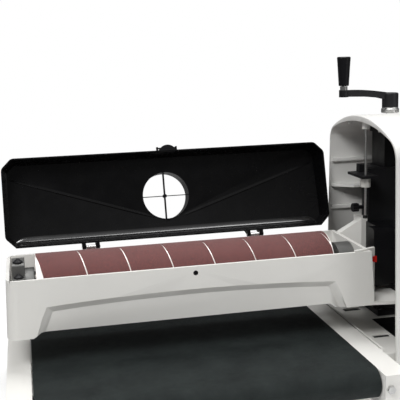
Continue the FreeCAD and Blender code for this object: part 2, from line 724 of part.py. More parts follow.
def saddle():
    """The bored block that slides on the column, with its gibs, nut and side fittings."""
    block = box(("saddle_lo", "saddle_hi"), (35, 115), (-60, "saddle_top"))
    bore = box(("col_lo - 5", "col_hi + 5"), ("col_front - 0.3", "col_back + 0.3"),
               (-61, "saddle_top + 1"))
    softened = rounded(block, 3, lambda edge: runs_along(edge, "z"))
    relief = box(("saddle_lo - 1", 688), (60, 116), (45, "saddle_top + 1"))
    lock_hole = rod("x", ("saddle_lo - 1", "lock_y", "lock_z"), 10, "4 + fit")
    place("saddle_block", cut(softened, bore, relief, lock_hole))
    gib_z = (-50, 170)
    place("saddle_gibs", group(
        box(("col_lo - 5", "col_lo - 0.3"), (50, 100), gib_z),
        box(("col_hi + 0.3", "col_hi + 5"), (48, 61), gib_z),
        box(("col_hi + 0.3", "col_hi + 5"), (89, 102), gib_z),
    ))
    nut = fuse(
        box(("screw_x - 14", "screw_x + 14"), ("screw_y - 14", "screw_y + 14"), (150, 176)),
        box(("screw_x + 13", "col_hi + 5"), ("screw_y - 8", "screw_y + 8"), (152, 174)),
    )
    place("lift_nut", cut(nut, rod("z", ("screw_x", "screw_y", 149), 28, "screw_r + fit")))
    bracket = fuse(
        box((633, "saddle_lo"), (-12, 60), (166, 171)),
        box((650, "saddle_lo"), (40, 56), (170, 187)),
    )
    bore = rod("z", ("rod_x", "rod_y", 165), 7, "rod_r + fit")
    place("rod_bracket", cut(bracket, bore))
    place("rod_bush", tube("z", ("rod_x", "rod_y", 147), 19, 10, "rod_r + fit"))
    # bolts through the carriage's flange into the saddle
    heads = [hexagon("x", (646, y, z), 7, 11) for y, z in ((66, -40), (66, 22))]
    place("flange_bolts", group(*heads))
    # pointer: a strip bent to lie on the neck's front wall and reach out to the scale
    pointer = new_body("pointer")
    sketch = sketch_on(pointer, "XY_Plane", 16)
    outline(sketch, [
        (621.2, -84), (632.4, -78.8), (635.5, -78.8), (635.5, -76.6), (632, -76.6), (632, -77.4),
        (621.2, -82),
    ])
    pad(pointer, sketch, 12)
    sketch = sketch_on(pointer, "XZ_Plane", -92)
    outline(sketch, [(619, 15), (632, 15), (619, 23)])
    pocket(pointer, sketch, 20)
    place("depth_pointer", pointer)
    # knob that clamps the saddle to the column once it is set
    stem = rod("x", (650, "lock_y", "lock_z"), 24, 4)
    knob = rounded(rod("x", (640, "lock_y", "lock_z"), 12.4, 9), 1.5, lambda edge: edge.BoundBox.XMax < 641)
    scallops = []
    for step in range(6):
        angle = math.radians(60 * step + 30)
        across, up = 11.5 * math.cos(angle), 11.5 * math.sin(angle)
        scallops.append(rod("x", (639, f"lock_y + {across}", f"lock_z + {up}"), 15, 4))
    place("lock_knob", fuse(cut(knob, *scallops), stem))


def motor():
    """Flange motor behind the saddle, and the guard round its coupling."""
    guard = box((648, "saddle_hi - 0.3"), (-37, 35), (-47.5, 70.5))
    softened = rounded(guard, 8, lambda edge: runs_along(edge, "x") and edge.BoundBox.YMax < 0)
    place("coupling_guard", cut(
        softened,
        box((647, 663), (-10, 36), (-48, 71)),
        box((652, 700), (-33, -14), (-43.5, 66.5)),
        box((667, "saddle_hi - 5.3"), (-33, 31), (-43.5, 66.5)),
        rod("x", (646, 0, 0), 24, 20),
        rod("x", ("saddle_hi - 7", 0, 0), 8, 26),
    ))
    plate = box(("saddle_hi", "saddle_hi + 12"), (-75, 115), (-75, 75))
    softened = rounded(plate, 12, lambda edge: runs_along(edge, "x"))
    place("motor_mount", cut(softened, rod("x", ("saddle_hi - 1", 0, 0), 14, 40)))
    face = number("saddle_hi") + 12
    can = turned("x", (face, 0, 0), [
        (0, "9.5 + fit"), (0, "motor_r - 5"), (6, "motor_r"), (196, "motor_r"), (203, "motor_r - 3"),
        (203, 0), (18, 0), (18, "9.5 + fit"),
    ])
    terminal = box((face + 48, face + 138), (-35, 35), ("motor_r - 6", "motor_r + 30"))
    softened = rounded(terminal, 4, lambda edge: edge.BoundBox.ZMax > number("motor_r") + 29
                       or runs_along(edge, "z"))
    place("drum_motor", fuse(can, softened))
    cowl = turned("x", (face + 203, 0, 0), [
        (0, 0), (0, "motor_r + 2"), (40, "motor_r + 2"), (48, "motor_r - 6"), (50, 40), (50, 0),
    ])
    slots = [box((face + 244, face + 254), (-3, 3), (r, r + 14)) for r in (14, 34)]
    place("motor_fan_cover", cut(cowl, *slots))


# ---- drum -------------------------------------------------------------------------------


def drum():
    """The drum, its shaft, and the jaw coupling to the motor."""
    place("drum_tube", tube("x", (0, 0, 0), "drum_len", "drum_r", "drum_r - drum_wall"))
    discs = [tube("x", (x, 0, 0), 8, "drum_r - drum_wall", "shaft_r") for x in (3, "drum_len - 11")]
    place("drum_end_discs", group(*discs))
    place("drum_shaft", rod("x", (-44, 0, 0), 756, "shaft_r"))
    place("abrasive_wrap", tube("x", (1, 0, 0), "drum_len - 3", "drum_r + wrap", "drum_r"))
    place("coupling_hubs", group(
        tube("x", (690, 0, 0), 22, 25, "shaft_r"),
        tube("x", (724, 0, 0), 22, 25, 9.5),
    ))
    notches = []
    for step in range(6):
        angle = math.radians(60 * step)
        notches.append(rod("x", (711, 24 * math.cos(angle), 24 * math.sin(angle)), 14, 5))
    place("coupling_spider", cut(rod("x", (712, 0, 0), 12, 24), *notches))
    place("motor_shaft", rod("x", (724, 0, 0), 74, 9.5))


def drum_supports():
    """Bearings and their housings at both ends of the drum shaft."""
    place("drum_bearings", group(
        tube("x", (-18.4, 0, 0), 15, 25.9, "shaft_r + fit"),
        tube("x", (585, 0, 0), 15, 25.9, "shaft_r + fit"),
    ))
    block = rounded(box((-42, -19.5), (-25, 28), (-35, 55)), 5,
                    lambda edge: runs_along(edge, "x") and edge.BoundBox.ZMax > 50)
    ledge = box((-42, -19.5), (-45, -24), (-35, 32))
    place("outboard_block", cut(fuse(block, ledge), rod("x", (-43, 0, 0), 25, 14)))
    hub = rounded(rod("x", (-19.5, 0, 0), 17, 40), 2, lambda edge: edge.BoundBox.XMin > -3)
    place("outboard_bearing_housing", cut(
        hub, rod("x", (-20.5, 0, 0), 19, 14), rod("x", (-18.4, 0, 0), 18, 26),
    ))
    hub = fuse(rod("x", (579, 0, 0), 32, 40), box((579, 611), (-30, 30), (-42, -20)))
    place("inboard_bearing_housing", cut(
        hub, rod("x", (578, 0, 0), 35, 14), rod("x", (584.5, 0, 0), 16.5, 26),
    ))
    heads = [
        fuse(hexagon("z", (-31, y, z), 6, 16), rod("z", (-31, y, z), 8, 6))
        for y, z in ((-15, 55), (-35, 32))
    ]
    place("outboard_bolts", group(*heads))


def pressure_rollers():
    """Sprung rollers that hold the work down in front of and behind the drum."""
    for label, side in (("front", -1), ("rear", 1)):
        y = f"{side} * press_y"
        blocks = []
        springs = []
        for low, high, spring_x in ((-18.8, -6, -12.5), (565, 578.2, 571.5)):
            blocks.append(cut(
                box((low, high), (f"{y} - 10", f"{y} + 10"), ("press_z - 7.1", "press_z + 16.9")),
                rod("x", (low - 1, y, "press_z"), 16, "4 + fit"),
            ))
            springs.append(tube("z", (spring_x, y, "press_z + 17"), 25.8, 5, 3.6))
        place(f"{label}_roller_carriers", group(*blocks))
        place(f"{label}_pressure_springs", group(*springs))
        place(f"{label}_pressure_roller", fuse(
            rod("x", (-5.6, y, "press_z"), 570.2, "press_r"),
            rod("x", (-18.2, y, "press_z"), 596, 4),
        ))


# ---- cover ------------------------------------------------------------------------------


def corner(low, high, depth, chamfer, drop, height):
    """The eight corners of the cover at one height, with its walls drawn in as they rise."""
    inset = 0.1275 * height + drop
    slant = chamfer + inset * (math.sqrt(2) - 1)
    near, far, left, right = inset, depth - inset, low + inset, high - inset
    return [
        (low + slant, near), (high - slant, near), (right, slant), (right, depth - slant),
        (high - slant, far), (low + slant, far), (left, depth - slant), (left, slant),
    ]


def facets(drop):
    """A closed solid of flat faces: the cover's outside, or with a drop its inside."""
    low, high, depth = number("cover_lo"), number("cover_hi"), number("cover_depth")
    roof, rear = number("cover_roof"), number("cover_rear")
    chamfer = 20
    base = -1 if drop else 0
    heights = [rear, rear, rear + 2, roof, roof, roof, roof, rear + 2]

    def spot(x, v, height):
        return Vector(x, number("cover_y") - v, number("cover_z") + height)

    rim = [spot(x, v, base) for x, v in corner(low, high, depth, chamfer, drop, base)]
    top = []
    for i, height in enumerate(heights):
        x, v = corner(low, high, depth, chamfer, drop, height - drop)[i]
        top.append(spot(x, v, height - drop))
    edge = 0.1275 * (roof - drop) + drop
    apex = spot(279, 34, roof - drop)
    left = spot(low + edge, 140, roof - drop)
    right = spot(high - edge, 140, roof - drop)
    walls = []
    for i in range(8):
        j = (i + 1) % 8
        face = [rim[i], rim[j], top[j], top[i]]
        if i == 2:
            face = [rim[i], rim[j], top[j], right, top[i]]
        if i == 6:
            face = [rim[i], rim[j], top[j], left, top[i]]
        walls.append(face)
    fan = [
        [top[0], top[1], apex], [top[1], top[2], apex], [top[2], right, apex],
        [left, top[7], apex], [top[7], top[0], apex],
        [apex, right, top[3], top[4], top[5], top[6], left],
    ]
    faces = [Part.Face(Part.makePolygon(face + face[:1])) for face in [rim, *walls, *fan]]
    solid = Part.makeSolid(Part.makeShell(faces))
    if solid.Volume < 0:
        solid.reverse()
    feature = doc.addObject("Part::Feature", unique("facets"))
    feature.Shape = solid
    return feature


def leg(low, high):
    """A hinge leg: a flat strap from the cover's rim to an eye round the pin."""
    body = new_body("leg")
    sketch = sketch_on(body, "YZ_Plane", low)
    outline(sketch, [
        (88, "cover_z + 0.2"), ("hinge_y", "hinge_z - 4.4"),
        ("hinge_y + 4.4", "hinge_z", 4.4), ("hinge_y", "hinge_z + 4.4", 4.4),
        (88.5, 72), (86.5, 72),
    ])
    pad(body, sketch, high - low)
    sketch = sketch_on(body, "YZ_Plane", low - 1)
    circle(sketch, "hinge_y", "hinge_z", "pin_r + fit")
    pocket(body, sketch, high - low + 2, reverse=True)
    return body


def cover():
    """The dust cover, drawn closed and then turned open about its hinge."""
    turn = Placement(
        Vector(), Rotation(Vector(1, 0, 0), -number("open_angle")),
        Vector(0, number("hinge_y"), number("hinge_z")),
    )
    port_y = "cover_y - port_v"
    roof_z = "cover_z + cover_roof"
    shell = cut(facets(0), facets(number("cover_wall")),
                rod("z", ("port_x", port_y, f"{roof_z} - 10"), 20, "port_r - 1.7"))
    spans = ((93, 100.4), (119.9, 127.5), (429.6, 436.4), (455.3, 463.6))
    legs = [cut(leg(low, high), facets(number("cover_wall"))) for low, high in spans]
    ears = [
        cut(box((x, x + 3), (-92.5, -80), (54, 62)), facets(number("cover_wall")))
        for x in (257.5, 296.5)
    ]
    pin = rod("x", (258, -90, 58), 41, 1.5)
    place("dust_cover", fuse(shell, *legs, *ears, pin), turn)
    bars = [
        box(("port_x - 1.5", "port_x + 1.5"), (f"{port_y} - 49", f"{port_y} + 49"),
            (f"{roof_z} + 12", f"{roof_z} + 18")),
        box(("port_x - 49", "port_x + 49"), (f"{port_y} - 0.7", f"{port_y} + 0.7"),
            (f"{roof_z} + 12", f"{roof_z} + 18")),
        rod("z", ("port_x", port_y, f"{roof_z} + 10"), 10, 4),
    ]
    spout = cut(
        fuse(
            rod("z", ("port_x", port_y, roof_z), 38, "port_r"),
            rod("z", ("port_x", port_y, roof_z), 3, "port_r + 4"),
        ),
        rod("z", ("port_x", port_y, f"{roof_z} - 1"), 40, "port_r - 1.7"),
    )
    place("dust_port", fuse(spout, *bars), turn)
    lever = new_body("lever")
    sketch = sketch_on(lever, "XY_Plane", 46)
    outline(sketch, [(296, -84.6, 19.6), (261, -84.6)])
    pad(lever, sketch, 16)
    place("latch_lever", cut(lever, rod("x", (260, -90, 58), 37, "1.5 + fit")), turn)


def hinge_pins():
    """Pins in blocks that stand on the rear rim between the legs of the cover."""
    hinges = []
    for low, high, block_lo, block_hi in ((92, 128.5, 101, 119.3), (428.6, 464.6, 437, 454.7)):
        block = new_body("hinge_block")
        sketch = sketch_on(block, "YZ_Plane", block_lo)
        outline(sketch, [
            (94.5, "rim + 0.1"), ("hinge_y + 4.2", "rim + 0.1"), ("hinge_y + 4.2", "hinge_z"),
            ("hinge_y - 4.2", "hinge_z", 4.3),
        ])
        pad(block, sketch, block_hi - block_lo)
        hinges.append(fuse(block, rod("x", (low, "hinge_y", "hinge_z"), high - low, "pin_r")))
    place("hinge_pins", group(*hinges))


# ---- crank ------------------------------------------------------------------------------


def crank():
    """The lift screw, hung in the column's cap, and the handle that turns it."""
    at = ("screw_x", "screw_y")
    screw = fuse(
        rod("z", (*at, 88), 212, "screw_r"),
        rod("z", (*at, "col_top - 10"), 9.7, 12),
        rod("z", (*at, "col_top + 10.3"), 8, 12),
    )
    place("lift_screw", screw)
    collar = turned("z", (*at, 0), [
        (285, "screw_r"), (285, 17), (286, 18), (293, 18), (294.5, 16.5), (296.9, 16.5), (296.9, "screw_r"),
    ])
    set_screw = rod("y", ("screw_x + 4", "screw_y - 19", 289.5), 6, 2)
    place("hub_collar", cut(group(collar), set_screw))
    grip_x, arm_y = 630, number("screw_y")
    arm = new_body("arm")
    sketch = sketch_on(arm, "XY_Plane", 297)
    circle(sketch, "screw_x", "screw_y", 16.5)
    pad(arm, sketch, 28.6)
    sketch = sketch_on(arm, "XZ_Plane", arm_y - 7)
    outline(sketch, [
        (grip_x, 321.5), (672, 320), (700, 317), (716, 313), (731, 307), (731, 325), (grip_x, 334, 430),
    ])
    pad(arm, sketch, 14, reverse=True)
    sketch = sketch_on(arm, "XY_Plane", 320.5)
    circle(sketch, grip_x, arm_y, 9.5)
    pad(arm, sketch, 14)
    soften(arm, 3, lambda edge: edge.BoundBox.ZMin > 325.5 and edge.BoundBox.ZMax < 325.7
           and edge.Curve.TypeId == "Part::GeomCircle")
    sketch = sketch_on(arm, "XY_Plane", 296)
    circle(sketch, "screw_x", "screw_y", "screw_r")
    pocket(arm, sketch, 4, reverse=True)
    place("crank_arm", arm)
    place("grip_bolt", fuse(
        rod("z", (grip_x, arm_y, 334.5), 7.5, 7.5),
        rod("z", (grip_x, arm_y, 341), 53, 4),
    ))
    grip = turned("z", (grip_x, arm_y, 0), [
        (343, "4 + fit"), (343, 9.2), (344, 10.2), (385, 12.6), (399, 13.6), (400.7, 12.2),
        (400.7, 0), (396, 0), (396, "4 + fit"),
    ])
    place("crank_grip", grip)


# ---- checks and export ------------------------------------------------------------------


def finish():
    doc.recompute()
    for thing in doc.Objects:
        if {"Invalid", "Error"} & set(thing.State):
            raise RuntimeError(f"{thing.Label} did not compute: {thing.State}")
    os.makedirs("parts", exist_ok=True)
    for thing in PARTS:
        shape = thing.Shape
        if shape.isNull() or not shape.isValid() or not shape.Solids:
            raise RuntimeError(f"{thing.Label} has no valid shape")
        shape.exportStep(f"parts/{thing.Label}.step")
    print(len(PARTS), "sub-parts")


base_casting()
column()
housing()
column_fittings()
conveyor()
controls()
carriage_casting()
saddle()
motor()
drum()
drum_supports()
pressure_rollers()
cover()
hinge_pins()
crank()
finish()
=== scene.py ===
import json
import math

import bmesh
import bpy
from mathutils import Matrix, Vector


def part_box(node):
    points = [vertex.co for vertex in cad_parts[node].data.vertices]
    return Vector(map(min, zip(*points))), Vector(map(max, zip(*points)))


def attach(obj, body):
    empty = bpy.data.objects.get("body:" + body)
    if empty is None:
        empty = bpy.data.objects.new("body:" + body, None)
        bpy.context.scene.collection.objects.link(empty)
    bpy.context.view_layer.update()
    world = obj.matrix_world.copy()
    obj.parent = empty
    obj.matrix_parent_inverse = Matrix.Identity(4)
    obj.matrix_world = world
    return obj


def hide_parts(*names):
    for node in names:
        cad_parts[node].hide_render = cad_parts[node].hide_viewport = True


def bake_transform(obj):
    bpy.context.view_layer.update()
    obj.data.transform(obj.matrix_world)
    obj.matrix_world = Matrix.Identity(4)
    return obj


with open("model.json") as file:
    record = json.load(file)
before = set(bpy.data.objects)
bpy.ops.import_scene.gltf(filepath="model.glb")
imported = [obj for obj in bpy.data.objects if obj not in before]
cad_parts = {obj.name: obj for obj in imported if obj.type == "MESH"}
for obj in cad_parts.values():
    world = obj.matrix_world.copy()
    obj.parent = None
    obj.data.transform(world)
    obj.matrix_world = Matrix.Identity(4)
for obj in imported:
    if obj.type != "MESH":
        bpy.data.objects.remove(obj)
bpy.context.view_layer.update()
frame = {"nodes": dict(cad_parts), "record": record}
NODES = frame["nodes"]
BODY_OF = {node: name for name, nodes in frame["record"]["behaviour"]["bodies"].items() for node in nodes}
SLOT_OF = {part["node"]: part["material_slot"] for part in frame["record"]["subparts"]}


# ---- the drum's own frame ---------------------------------------------------------------
# Sizes below are in millimetres about the drum: X from its free end, Y from its axis toward
# the outfeed side, Z up from its axis. at() turns them into the machine's frame, in metres.

DRUM_LOW, DRUM_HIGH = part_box("drum_tube")
ORIGIN = Vector((DRUM_LOW.x, 0, (DRUM_LOW.z + DRUM_HIGH.z) / 2))
MM = 0.001


def at(x, y, z):
    """The machine's own place, in metres, of a point given about the drum."""
    return ORIGIN + Vector((x, y, z)) * MM


# the cover's hinge, and how far it stands open at rest, in degrees
HINGE_Y, HINGE_Z, OPEN_ANGLE = 99.4, 46.8, 105
# the shut cover: its rim, its back edge on the hinge side, its two ends and its dust port's middle
COVER_RIM, COVER_BACK = 44, 92
COVER_ENDS = (-53.5, 611.1)
PORT_X, PORT_Y = 275.5, 4
# its heights over the rim at the roof and on the hinge side, and the thickness of its wall
ROOF_HEIGHT, REAR_HEIGHT, COVER_WALL = 51, 40, 3
# how far its walls lean in for each unit of height
WALL_LEAN = 0.1275

# the control box's front face, and the middle of its speed knob
BOX_FACE = -226
KNOB_X, KNOB_Z = 762, -180
# the knob's last tick, in degrees from the top
LAST_TICK = 150

# the pedestal's top, with two slots beside its well
PEDESTAL_TOP = -136
SLOT_CORNERS = ((632, -80), (640, 86))
SLOT_LENGTH, SLOT_WIDTH = 35, 16


# ---- materials --------------------------------------------------------------------------


class Nodes:
    """A material's node tree, with short ways to add nodes."""

    def __init__(self, name):
        self.material = bpy.data.materials.new(name)
        self.material.use_nodes = True
        self.tree = self.material.node_tree
        self.shader = self.tree.nodes["Principled BSDF"]
        self.place = self.tree.nodes.new("ShaderNodeTexCoord").outputs["Object"]

    def add(self, kind, inputs=(), **settings):
        node = self.tree.nodes.new("ShaderNode" + kind)
        for name, value in settings.items():
            setattr(node, name, value)
        for name, value in dict(inputs).items():
            if isinstance(value, bpy.types.NodeSocket):
                self.tree.links.new(value, node.inputs[name])
            else:
                node.inputs[name].default_value = value
        return node

    def noise(self, scale, detail=4, rough=0.55, stretch=None):
        place = self.place
        if stretch:
            place = self.add("Mapping", {"Vector": place, "Scale": stretch}).outputs[0]
        inputs = {"Vector": place, "Scale": scale, "Detail": detail, "Roughness": rough}
        return self.add("TexNoise", inputs).outputs["Fac"]

    def ramp(self, value, *stops):
        node = self.add("ValToRGB", {"Fac": value})
        while len(node.color_ramp.elements) < len(stops):
            node.color_ramp.elements.new(0.5)
        for element, (spot, colour) in zip(node.color_ramp.elements, stops):
            element.position = spot
            element.color = (*colour, 1)
        return node.outputs["Color"]

    def span(self, value, low, high, start=0.0, end=1.0):
        inputs = {"Value": value, "From Min": start, "From Max": end, "To Min": low, "To Max": high}
        return self.add("MapRange", inputs).outputs["Result"]

    def math(self, operation, a, b=0.0):
        node = self.add("Math", operation=operation)
        for socket, value in zip(node.inputs, (a, b)):
            if isinstance(value, bpy.types.NodeSocket):
                self.tree.links.new(value, socket)
            else:
                socket.default_value = value
        return node.outputs[0]

    def blend(self, share, a, b):
        node = self.add("Mix", data_type="RGBA")
        for socket, value in ((node.inputs[0], share), (node.inputs[6], a), (node.inputs[7], b)):
            if isinstance(value, bpy.types.NodeSocket):
                self.tree.links.new(value, socket)
            else:
                socket.default_value = value if isinstance(value, float) else (*value, 1)
        return node.outputs[2]

    def bump(self, height, distance):
        inputs = {"Height": height, "Distance": distance, "Strength": 1.0}
        return self.add("Bump", inputs).outputs["Normal"]

    def set(self, **inputs):
        """Sets the shader's own sockets, or links them."""
        for name, value in inputs.items():
            socket = self.shader.inputs[name.replace("_", " ")]
            if isinstance(value, bpy.types.NodeSocket):
                self.tree.links.new(value, socket)
            elif socket.type == "RGBA":
                socket.default_value = (*value, 1)
            else:
                socket.default_value = value


def shades(colour, spread):
    """A darker and a lighter version of a colour."""
    return [tuple(min(1, part * factor) for part in colour) for factor in (1 - spread, 1 + spread)]


def painted(name, colour, rough=0.34, peel=0.00006, grime=0.02, coat=0.12, gloss=0.4):
    """Powder coat: orange peel, faint mottling, dust that dulls it in patches."""
    m = Nodes(name)
    low, high = shades(colour, grime)
    m.set(Base_Color=m.ramp(m.noise(9, 5), (0.3, low), (0.7, high)))
    m.set(Roughness=m.span(m.noise(40, 6), rough - 0.05, rough + 0.09, 0.3, 0.7))
    m.set(Coat_Weight=coat, Coat_Roughness=0.25, Specular_IOR_Level=gloss)
    m.set(Normal=m.bump(m.noise(420, 2), peel))
    return m.material


def moulded(name, colour, rough=0.42, grain=0.00009, scale=1400, gloss=0.45, cloud=0.12):
    """Moulded plastic with a fine leathery grain."""
    m = Nodes(name)
    low, high = shades(colour, cloud)
    m.set(Base_Color=m.ramp(m.noise(14, 5), (0.3, low), (0.7, high)))
    cells = m.add("TexVoronoi", {"Vector": m.place, "Scale": scale}, feature="SMOOTH_F1")
    m.set(Roughness=m.span(m.noise(30, 5), rough - 0.04, rough + 0.05, 0.3, 0.7))
    m.set(Normal=m.bump(cells.outputs["Distance"], grain), IOR=1.48, Specular_IOR_Level=gloss)
    return m.material


def machined(name, colour, rough=0.3, stretch=(1, 40, 40), depth=0.00002, metallic=1.0):
    """Bare metal with fine tool marks, which run across the stretched axes."""
    m = Nodes(name)
    low, high = shades(colour, 0.12)
    marks = m.noise(60, 5, 0.7, stretch)
    m.set(Base_Color=m.ramp(marks, (0.25, low), (0.75, high)), Metallic=metallic)
    m.set(Roughness=m.span(m.noise(25, 6), rough - 0.08, rough + 0.12, 0.3, 0.7))
    m.set(Normal=m.bump(marks, depth))
    return m.material


def sandpaper():
    """Red-brown grit, packed close, with wood dust lying in it."""
    m = Nodes("abrasive_grit")
    dark, middle, light = (0.045, 0.010, 0.010), (0.104, 0.027, 0.025), (0.19, 0.056, 0.051)
    dust = (0.14, 0.045, 0.041)
    cells = m.add("TexVoronoi", {"Vector": m.place, "Scale": 1500})
    grain = m.add("SeparateColor", {"Color": cells.outputs["Color"]}).outputs[0]
    grit = m.ramp(grain, (0.0, dark), (0.55, middle), (1.0, light))
    dusty = m.blend(m.span(m.noise(22, 6, 0.65), 0.0, 0.45, 0.42, 0.8), grit, dust)
    m.set(Base_Color=dusty, Roughness=m.span(grain, 0.62, 0.95))
    m.set(Normal=m.bump(cells.outputs["Distance"], 0.0003), Sheen_Weight=0.15, Sheen_Roughness=0.5)
    return m.material


def belt_cloth():
    """Dark conveyor cloth: a grit-faced weave."""
    m = Nodes("conveyor_cloth")
    threads = []
    for direction in ("X", "Y"):
        wave = m.add(
            "TexWave", {"Vector": m.place, "Scale": 500, "Distortion": 1.5}, bands_direction=direction
        )
        threads.append(wave.outputs["Fac"])
    weave = m.math("MAXIMUM", *threads)
    dark = m.ramp(m.noise(16, 6, 0.7), (0.3, (0.006, 0.009, 0.009)), (0.72, (0.018, 0.024, 0.023)))
    m.set(Base_Color=dark, Roughness=m.span(m.noise(90, 5), 0.6, 0.85), Specular_IOR_Level=0.25)
    m.set(Normal=m.bump(weave, 0.00025))
    return m.material


def bare_drum():
    """Pale anodised drum, which shows between the turns of the strip."""
    m = Nodes("drum_aluminium")
    stained = m.ramp(m.noise(30, 5), (0.3, (0.72, 0.66, 0.63)), (0.7, (0.86, 0.82, 0.79)))
    m.set(Base_Color=stained, Metallic=0.35)
    m.set(Roughness=m.span(m.noise(60, 5), 0.35, 0.5, 0.3, 0.7))
    m.set(Normal=m.bump(m.noise(60, 4, 0.6, (40, 1, 1)), 0.00002))
    return m.material


def scale_black():
    """Black plate with plain white ticks, one to a millimetre and a longer one to five."""
    m = Nodes("scale_plate")
    low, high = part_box("depth_scale")
    black, white = (0.015, 0.015, 0.016), (0.6, 0.6, 0.58)
    scale_length = 0.11
    spot = m.add("SeparateXYZ", {"Vector": m.place})
    height = m.math("SUBTRACT", spot.outputs["Z"], high.z)
    along = m.math("SUBTRACT", spot.outputs["X"], low.x)
    ticks = []
    for per_metre, thickness, start in ((1000, 0.22, 0.0070), (200, 0.07, 0.0045)):
        phase = m.math("FRACT", m.math("MULTIPLY", height, per_metre))
        line = m.math("LESS_THAN", phase, thickness)
        ticks.append(m.math("MULTIPLY", line, m.math("GREATER_THAN", along, start)))
    on_scale = m.math("GREATER_THAN", height, -scale_length)
    on_front = m.math("GREATER_THAN", spot.outputs["Y"], high.y - 0.3 * MM)
    share = m.math("MULTIPLY", m.math("MULTIPLY", m.math("MAXIMUM", *ticks), on_scale), on_front)
    m.set(Base_Color=m.blend(share, black, white), Roughness=m.span(m.noise(80, 4), 0.35, 0.5))
    return m.material


def rod_steel():
    """Ground rod with a black stop at its foot."""
    m = Nodes("guide_rod_steel")
    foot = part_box("guide_rod")[0].z
    stop_height = 6.2 * MM
    height = m.add("SeparateXYZ", {"Vector": m.place}).outputs["Z"]
    is_stop = m.math("LESS_THAN", height, foot + stop_height)
    marks = m.noise(60, 4, 0.6, (1, 1, 60))
    ground = m.ramp(marks, (0.3, (0.55, 0.55, 0.54)), (0.7, (0.75, 0.75, 0.74)))
    m.set(Base_Color=m.blend(is_stop, ground, (0.012, 0.012, 0.012)), Metallic=m.span(is_stop, 1.0, 0.0))
    m.set(Roughness=m.span(marks, 0.22, 0.36), Normal=m.bump(marks, 0.00001))
    return m.material


# a material for each of the machine's slots
M = {
    "cast_paint": painted("cast_paint", (0.72, 0.71, 0.678), 0.33),
    "shell_white": moulded("shell_white", (0.70, 0.695, 0.672), 0.36, 0.00004, 900, cloud=0.02),
    "black_plastic": moulded("black_plastic", (0.004, 0.004, 0.005), 0.3, 0.00004, gloss=0.3),
    "black_paint": painted("black_paint", (0.009, 0.009, 0.010), 0.4, 0.00008, 0.2, 0.0, 0.22),
    "grey_paint": painted("grey_paint", (0.24, 0.25, 0.26), 0.4),
    "steel": machined("steel", (0.60, 0.60, 0.59), 0.3, (40, 1, 1)),
    "dark_steel": machined("dark_steel", (0.035, 0.035, 0.037), 0.4, (10, 10, 10), 0.00003, 0.7),
    "chromed": machined("chromed", (0.50, 0.50, 0.49), 0.24, (1, 1, 60), 0.00001),
    "cast_iron": machined("cast_iron", (0.16, 0.16, 0.155), 0.5, (8, 8, 8), 0.00012, 0.8),
    "aluminium": machined("aluminium", (0.70, 0.70, 0.69), 0.36, (20, 1, 20), 0.00004),
    "bronze": machined("bronze", (0.55, 0.38, 0.17), 0.36, (1, 1, 30)),
    "abrasive": sandpaper(),
    "belt_cloth": belt_cloth(),
    "rubber": moulded("rubber", (0.012, 0.012, 0.012), 0.7, 0.0002, 700, gloss=0.2),
    "bush_nylon": moulded("bush_nylon", (0.56, 0.55, 0.52), 0.4, 0.00003),
    "red_plastic": moulded("red_plastic", (0.62, 0.010, 0.006), 0.25, 0.00002),
    "red_switch": moulded("red_switch", (0.50, 0.012, 0.010), 0.3, 0.00002),
}
# nodes and pieces with a material of their own
OWN = {
    "depth_scale": scale_black(),
    "guide_rod": rod_steel(),
    "drum_tube": bare_drum(),
    "dust_cover": moulded("cover_black", (0.0022, 0.0022, 0.0025), 0.26, 0.000004, 500, 0.2),
    # the sweep's copy of the cover's plastic is a little lighter, a painted highlight, and much glossier
    "cover_sweep": moulded("cover_sweep_highlight_black", (0.008, 0.008, 0.0085), 0.17, 0.000004, 500, 1.0),
}


SHARP = 32  # the smallest angle, in degrees, that shows as an edge on most pieces


def dress(obj, material):
    """Gives an object one material."""
    obj.data.materials.clear()
    obj.data.materials.append(material)


for node, obj in NODES.items():
    dress(obj, OWN.get(node) or M[SLOT_OF[node]])
    obj.data.shade_smooth()
    obj.data.set_sharp_from_angle(angle=math.radians(SHARP))


# ---- new pieces -------------------------------------------------------------------------


def new_piece(name, bm, body, slot, material=None):
    """An object from a bmesh, dressed, and riding on a body."""
    mesh = bpy.data.meshes.new(name)
    bm.to_mesh(mesh)
    bm.free()
    obj = bpy.data.objects.new(name, mesh)
    bpy.context.scene.collection.objects.link(obj)
    dress(obj, material or M[slot])
    mesh.shade_smooth()
    mesh.set_sharp_from_angle(angle=math.radians(SHARP))
    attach(obj, body)
    return obj


# nodes of flat faces, where a smaller angle shows as an edge
CRISP = {"carriage_casting": 14, "dust_cover": 24, "base_casting": 20}


def softened_copy(node, width, segments=2, shape=None):
    """A CAD node with its sharp edges rounded, standing in for the node."""
    bm = bmesh.new()
    bm.from_mesh(NODES[node].data)
    bmesh.ops.remove_doubles(bm, verts=bm.verts, dist=1e-6)
    # the casting's long curved front shades evenly only with its own triangles
    if node != "carriage_casting":
        bmesh.ops.dissolve_limit(bm, angle_limit=math.radians(0.6), verts=bm.verts, edges=bm.edges)
    if shape:
        shape(bm)
    obj = new_piece(node + "_finish", bm, BODY_OF[node], SLOT_OF[node], OWN.get(node))
    obj.data.set_sharp_from_angle(angle=math.radians(CRISP.get(node, SHARP)))
    bevel = obj.modifiers.new("round", "BEVEL")
    bevel.width = width * MM
    bevel.segments = segments
    bevel.limit_method = "ANGLE"
    bevel.angle_limit = math.radians(25 if node in CRISP else 38)
    bevel.use_clamp_overlap = True
    bevel.harden_normals = True
    bake_modifiers(obj)
    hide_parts(node)


def bake_modifiers(obj):
    """Turns an object's modifiers into plain mesh."""
    shape = obj.evaluated_get(bpy.context.evaluated_depsgraph_get())
    mesh = bpy.data.meshes.new_from_object(shape)
    old = obj.data
    obj.modifiers.clear()
    obj.data = mesh
    bpy.data.meshes.remove(old)


HINGE = at(0, HINGE_Y, HINGE_Z)
SWING = Matrix.Rotation(math.radians(OPEN_ANGLE), 4, "X")
